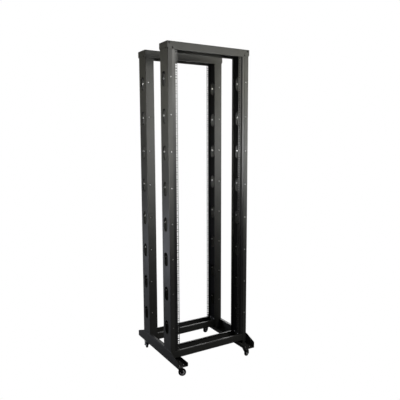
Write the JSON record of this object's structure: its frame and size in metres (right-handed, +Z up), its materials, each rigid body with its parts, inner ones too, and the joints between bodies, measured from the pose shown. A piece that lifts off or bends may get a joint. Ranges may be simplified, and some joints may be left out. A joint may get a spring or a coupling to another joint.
{
  "type": "four-post open-frame equipment rack",
  "caption": "Open steel equipment rack: two portal frames with slotted posts and square-hole mounting rails on side feet with swivel casters.",
  "frame": {"origin": "on the floor, under the middle of the rack", "axes": "+X to the right seen from the front, +Y to the rear, +Z up"},
  "size_m": [0.599, 0.6, 2.0649],
  "materials": {
    "frame_paint": "satin fine-texture powder coat, charcoal",
    "inner_paint": "matt fine-texture powder coat, near black",
    "zinc_steel": "bright zinc plate",
    "black_steel": "black oxide",
    "tyre": "matt black rubber",
    "hub_plastic": "light grey moulded plastic"
  },
  "bodies": {
    "frame": {"post_front_left": "frame_paint", "post_front_right": "frame_paint", "post_rear_left": "frame_paint", "post_rear_right": "frame_paint", "mounting_rail_front_left": "frame_paint", "mounting_rail_front_right": "frame_paint", "mounting_rail_rear_left": "frame_paint", "mounting_rail_rear_right": "frame_paint", "side_channel_front_left": "inner_paint", "side_channel_front_right": "inner_paint", "side_channel_rear_left": "inner_paint", "side_channel_rear_right": "inner_paint", "top_beam_front": "frame_paint", "top_beam_rear": "frame_paint", "cross_beam_front": "frame_paint", "cross_beam_rear": "frame_paint", "side_foot_left": "frame_paint", "side_foot_right": "frame_paint", "tab_bolt_front_left_outer": "zinc_steel", "tab_bolt_front_left_inner": "zinc_steel", "tab_bolt_front_right_outer": "zinc_steel", "tab_bolt_front_right_inner": "zinc_steel", "tab_bolt_rear_left_outer": "zinc_steel", "tab_bolt_rear_left_inner": "zinc_steel", "tab_bolt_rear_right_outer": "zinc_steel", "tab_bolt_rear_right_inner": "zinc_steel", "beam_screw_front_left": "black_steel", "beam_screw_front_right": "black_steel", "beam_screw_rear_left": "black_steel", "beam_screw_rear_right": "black_steel", "caster_plate_front_left": "zinc_steel", "caster_kingpin_front_left": "zinc_steel", "caster_plate_front_right": "zinc_steel", "caster_kingpin_front_right": "zinc_steel", "caster_plate_rear_left": "zinc_steel", "caster_kingpin_rear_left": "zinc_steel", "caster_plate_rear_right": "zinc_steel", "caster_kingpin_rear_right": "zinc_steel"},
    "swivel_front_left": {"caster_fork_front_left": "black_steel", "caster_axle_front_left": "black_steel"},
    "wheel_front_left": {"caster_tyre_front_left": "tyre", "caster_hub_front_left": "hub_plastic"},
    "swivel_front_right": {"caster_fork_front_right": "black_steel", "caster_axle_front_right": "black_steel"},
    "wheel_front_right": {"caster_tyre_front_right": "tyre", "caster_hub_front_right": "hub_plastic"},
    "swivel_rear_left": {"caster_fork_rear_left": "black_steel", "caster_axle_rear_left": "black_steel"},
    "wheel_rear_left": {"caster_tyre_rear_left": "tyre", "caster_hub_rear_left": "hub_plastic"},
    "swivel_rear_right": {"caster_fork_rear_right": "black_steel", "caster_axle_rear_right": "black_steel"},
    "wheel_rear_right": {"caster_tyre_rear_right": "tyre", "caster_hub_rear_right": "hub_plastic"}
  },
  "joints": [
    {"name": "swivel_turn_front_left", "type": "hinge", "parent": "frame", "child": "swivel_front_left", "pos_m": [-0.2585, -0.252, 0], "axis": [0, 0, 1], "continuous": true},
    {"name": "wheel_spin_front_left", "type": "hinge", "parent": "swivel_front_left", "child": "wheel_front_left", "pos_m": [-0.24291, -0.261, 0.025], "axis": [0.5, 0.866, 0], "continuous": true},
    {"name": "swivel_turn_front_right", "type": "hinge", "parent": "frame", "child": "swivel_front_right", "pos_m": [0.2585, -0.252, 0], "axis": [0, 0, 1], "continuous": true},
    {"name": "wheel_spin_front_right", "type": "hinge", "parent": "swivel_front_right", "child": "wheel_front_right", "pos_m": [0.27481, -0.24439, 0.025], "axis": [-0.4226, 0.9063, 0], "continuous": true},
    {"name": "swivel_turn_rear_left", "type": "hinge", "parent": "frame", "child": "swivel_rear_left", "pos_m": [-0.2585, 0.252, 0], "axis": [0, 0, 1], "continuous": true},
    {"name": "wheel_spin_rear_left", "type": "hinge", "parent": "swivel_rear_left", "child": "wheel_rear_left", "pos_m": [-0.26316, 0.23461, 0.025], "axis": [0.9659, -0.2588, 0], "continuous": true},
    {"name": "swivel_turn_rear_right", "type": "hinge", "parent": "frame", "child": "swivel_rear_right", "pos_m": [0.2585, 0.252, 0], "axis": [0, 0, 1], "continuous": true},
    {"name": "wheel_spin_rear_right", "type": "hinge", "parent": "swivel_rear_right", "child": "wheel_rear_right", "pos_m": [0.24159, 0.24584, 0.025], "axis": [0.342, -0.9397, 0], "continuous": true}
  ]
}
